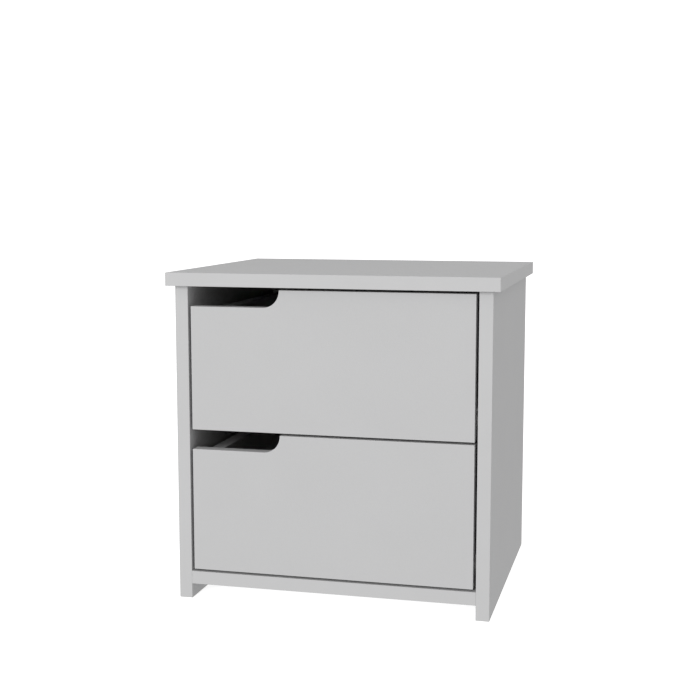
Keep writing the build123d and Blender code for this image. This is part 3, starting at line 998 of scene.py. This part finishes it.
def cam_bolt_template(head, length, fittings):
    """A cam bolt, from its coarse thread to the waisted head that the cam grips."""
    crest = 2.5 * MM
    core = crest - fittings.thread_depth
    threaded = 10.0 * MM
    shank = 3.0 * MM
    neck = 2.0 * MM
    head_height = 3.5 * MM
    neck_length = 6.0 * MM
    soft = 0.6 * MM
    head_start = length - head_height
    outline = [
        (0.0, 0.0),
        (core - soft, 0.0),
        (core, soft),
        (core, threaded),
        (shank - 0.2 * MM, threaded),
        (shank, threaded + 0.2 * MM),
        (shank, head_start - neck_length - 0.3 * MM),
        (neck, head_start - neck_length + 0.3 * MM),
        (neck, head_start - 0.3 * MM),
        (neck + 0.3 * MM, head_start),
        (head - 0.4 * MM, head_start),
        (head, head_start + soft),
        (head, length - 1.2 * MM),
        (head - 0.4 * MM, length - 0.5 * MM),
        (head - 1.2 * MM, length),
        (0.0, length),
    ]
    bm = bmesh.new()
    turn(bm, outline, fittings.ring_steps)
    thread(bm, core - 0.05 * MM, crest, fittings.bolt_pitch, 0.4 * MM, threaded, 20)
    return finished_mesh(bm, "cam_bolt_template")


class NIGHTSTAND_OT_cam_bolts(Operator):
    """Screw in the bolts that the cams grip"""

    bl_idname = "nightstand.cam_bolts"
    bl_label = "Make the Cam Bolts"

    def execute(self, context):
        ways = {"panel_cam_bolts": panel_bolt_way}
        ways.update({f"{level}_drawer_cam_bolts": rearward for level in LEVELS})
        for node, way in ways.items():
            matrices, head, length = places(node, way)
            template = cam_bolt_template(head, length, context.scene.nightstand_fittings)
            make_fittings(node, template, matrices, zinc(context))
        return {"FINISHED"}


def dowel_template(radius, length, fittings):
    """A fluted dowel with chamfered ends."""
    chamfer = 0.8 * MM
    flute = 0.3 * MM
    per_flute = 4
    bm = bmesh.new()
    ring = bmesh.ops.create_circle(
        bm, cap_ends=True, segments=fittings.dowel_flutes * per_flute, radius=radius
    )["verts"]
    for vert in ring[::per_flute]:
        vert.co *= 1.0 - flute / radius
    waist = 1.0 - chamfer / radius
    bmesh.ops.scale(bm, vec=(waist, waist, 1.0), verts=ring)
    end = push(bm, list(ring[0].link_faces), chamfer, 1 / waist, closed=False)
    end = push(bm, end, length - 2 * chamfer, 1.0)
    push(bm, end, chamfer, waist)
    return finished_mesh(bm, "dowel_template")


class NIGHTSTAND_OT_dowels(Operator):
    """Tap in the fluted beech dowels"""

    bl_idname = "nightstand.dowels"
    bl_label = "Make the Dowels"

    def execute(self, context):
        settings = context.scene.nightstand_boards
        for node, axis in (("panel_dowels", 2), ("upper_drawer_dowels", 1), ("lower_drawer_dowels", 1)):
            matrices, radius, length = places(node, long_way)
            template = dowel_template(radius, length, context.scene.nightstand_fittings)
            make_fittings(node, template, matrices, beech_finish(node, axis, settings))
        return {"FINISHED"}


# Studio


def stage_object(name, bm, material):
    """A piece of the studio, which isn't part of the nightstand."""
    mesh = bpy.data.meshes.new(name)
    bm.to_mesh(mesh)
    bm.free()
    mesh.shade_smooth()
    mesh.materials.append(material)
    made = bpy.data.objects.new(name, mesh)
    bpy.context.scene.collection.objects.link(made)
    for rays in ("diffuse", "glossy", "transmission", "shadow"):
        setattr(made, f"visible_{rays}", False)


def floor_finish(settings):
    """A pale matt floor that gives a little light of its own."""
    finish = Finish("studio_floor")
    cloud = finish.noise(0.4, 2.0, 0.5)
    base = finish.mix(cloud, shade(settings.floor_colour, 0.99), shade(settings.floor_colour, 1.01))
    return finish.surface(
        base_color=base,
        roughness=0.9,
        emission_color=WHITE,
        emission_strength=settings.floor_glow,
    )


def wall_finish(settings):
    """A wall that shows as evenly lit paper."""
    finish = Finish("studio_wall")
    cloud = finish.noise(1.5, 2.0, 0.5)
    glow = finish.mix(cloud, (0.99, 0.99, 0.99), (1.0, 1.0, 1.0))
    return finish.surface(
        base_color=(0.8, 0.8, 0.8, 1.0),
        roughness=1.0,
        emission_color=glow,
        emission_strength=settings.wall_glow,
    )


def area_lamp(name, place, target, width, height, power):
    """A soft rectangular lamp that points at a target."""
    data = bpy.data.lights.new(name, "AREA")
    data.shape = "RECTANGLE"
    data.size = width
    data.size_y = height
    data.energy = power
    lamp = bpy.data.objects.new(name, data)
    lamp.location = place
    lamp.rotation_euler = (Vector(target) - Vector(place)).to_track_quat("-Z", "Y").to_euler()
    bpy.context.scene.collection.objects.link(lamp)


def room_world(strength):
    """Even white light from all round."""
    world = bpy.data.worlds.new("room")
    world.use_nodes = True
    background = world.node_tree.nodes["Background"]
    background.inputs["Color"].default_value = WHITE
    background.inputs["Strength"].default_value = strength
    bpy.context.scene.world = world


class NIGHTSTAND_OT_stage(Operator):
    """Lay the floor, hang the lamps and set the camera"""

    bl_idname = "nightstand.stage"
    bl_label = "Set the Studio"

    def execute(self, context):
        settings = context.scene.nightstand_stage
        low = CAD_BOX[0]
        bm = bmesh.new()
        bmesh.ops.create_circle(bm, cap_ends=True, segments=STUDIO_STEPS, radius=FLOOR_RADIUS)
        bmesh.ops.translate(bm, vec=(0.0, 0.0, low[2] - FLOOR_DROP), verts=bm.verts)
        stage_object("studio_floor", bm, floor_finish(settings))
        bm = bmesh.new()
        bmesh.ops.create_cone(
            bm,
            cap_ends=False,
            segments=STUDIO_STEPS,
            radius1=WALL_RADIUS,
            radius2=WALL_RADIUS,
            depth=WALL_HEIGHT,
        )
        stage_object("studio_wall", bm, wall_finish(settings))
        room_world(settings.room_light)
        area_lamp("front_lamp", LAMP_PLACE, LAMP_TARGET, *LAMP_SIZE, settings.front_light)
        data = bpy.data.cameras.new("camera")
        data.lens = settings.focal_length
        data.sensor_width = SENSOR_WIDTH
        camera = bpy.data.objects.new("camera", data)
        camera.location = settings.camera_place
        camera.rotation_euler = (pi / 2 - settings.camera_pitch, 0.0, settings.camera_yaw)
        context.scene.collection.objects.link(camera)
        context.scene.camera = camera
        context.scene.view_settings.view_transform = "Standard"
        return {"FINISHED"}


# Registration


class NIGHTSTAND_PT_panel(Panel):
    """Lists the settings and the steps that finish the nightstand"""

    bl_idname = "NIGHTSTAND_PT_panel"
    bl_label = "Nightstand"
    bl_space_type = "VIEW_3D"
    bl_region_type = "UI"
    bl_category = "Nightstand"

    def draw(self, context):
        for group in SETTINGS:
            settings = getattr(context.scene, group)
            for name in settings.__annotations__:
                self.layout.prop(settings, name)
        for step in STEPS:
            self.layout.operator(step.bl_idname)


SETTINGS = {
    "nightstand_boards": BoardSettings,
    "nightstand_metal": MetalSettings,
    "nightstand_fittings": FittingSettings,
    "nightstand_stage": StageSettings,
}
STEPS = (
    NIGHTSTAND_OT_boards,
    NIGHTSTAND_OT_edge_bands,
    NIGHTSTAND_OT_hardboard,
    NIGHTSTAND_OT_runners,
    NIGHTSTAND_OT_rollers,
    NIGHTSTAND_OT_roller_pins,
    NIGHTSTAND_OT_runner_screws,
    NIGHTSTAND_OT_joint_screws,
    NIGHTSTAND_OT_nails,
    NIGHTSTAND_OT_cam_locks,
    NIGHTSTAND_OT_cam_bolts,
    NIGHTSTAND_OT_dowels,
    NIGHTSTAND_OT_stage,
)


def register():
    """Adds the settings, the steps and the panel."""
    for group, settings in SETTINGS.items():
        bpy.utils.register_class(settings)
        setattr(bpy.types.Scene, group, PointerProperty(type=settings))
    for step in STEPS:
        bpy.utils.register_class(step)
    bpy.utils.register_class(NIGHTSTAND_PT_panel)


def unregister():
    """Takes the panel, the steps and the settings away."""
    bpy.utils.unregister_class(NIGHTSTAND_PT_panel)
    for step in reversed(STEPS):
        bpy.utils.unregister_class(step)
    for group, settings in SETTINGS.items():
        delattr(bpy.types.Scene, group)
        bpy.utils.unregister_class(settings)


def main():
    """Runs every step in order."""
    register()
    for step in STEPS:
        group, name = step.bl_idname.split(".")
        getattr(getattr(bpy.ops, group), name)()


if __name__ == "__main__":
    main()
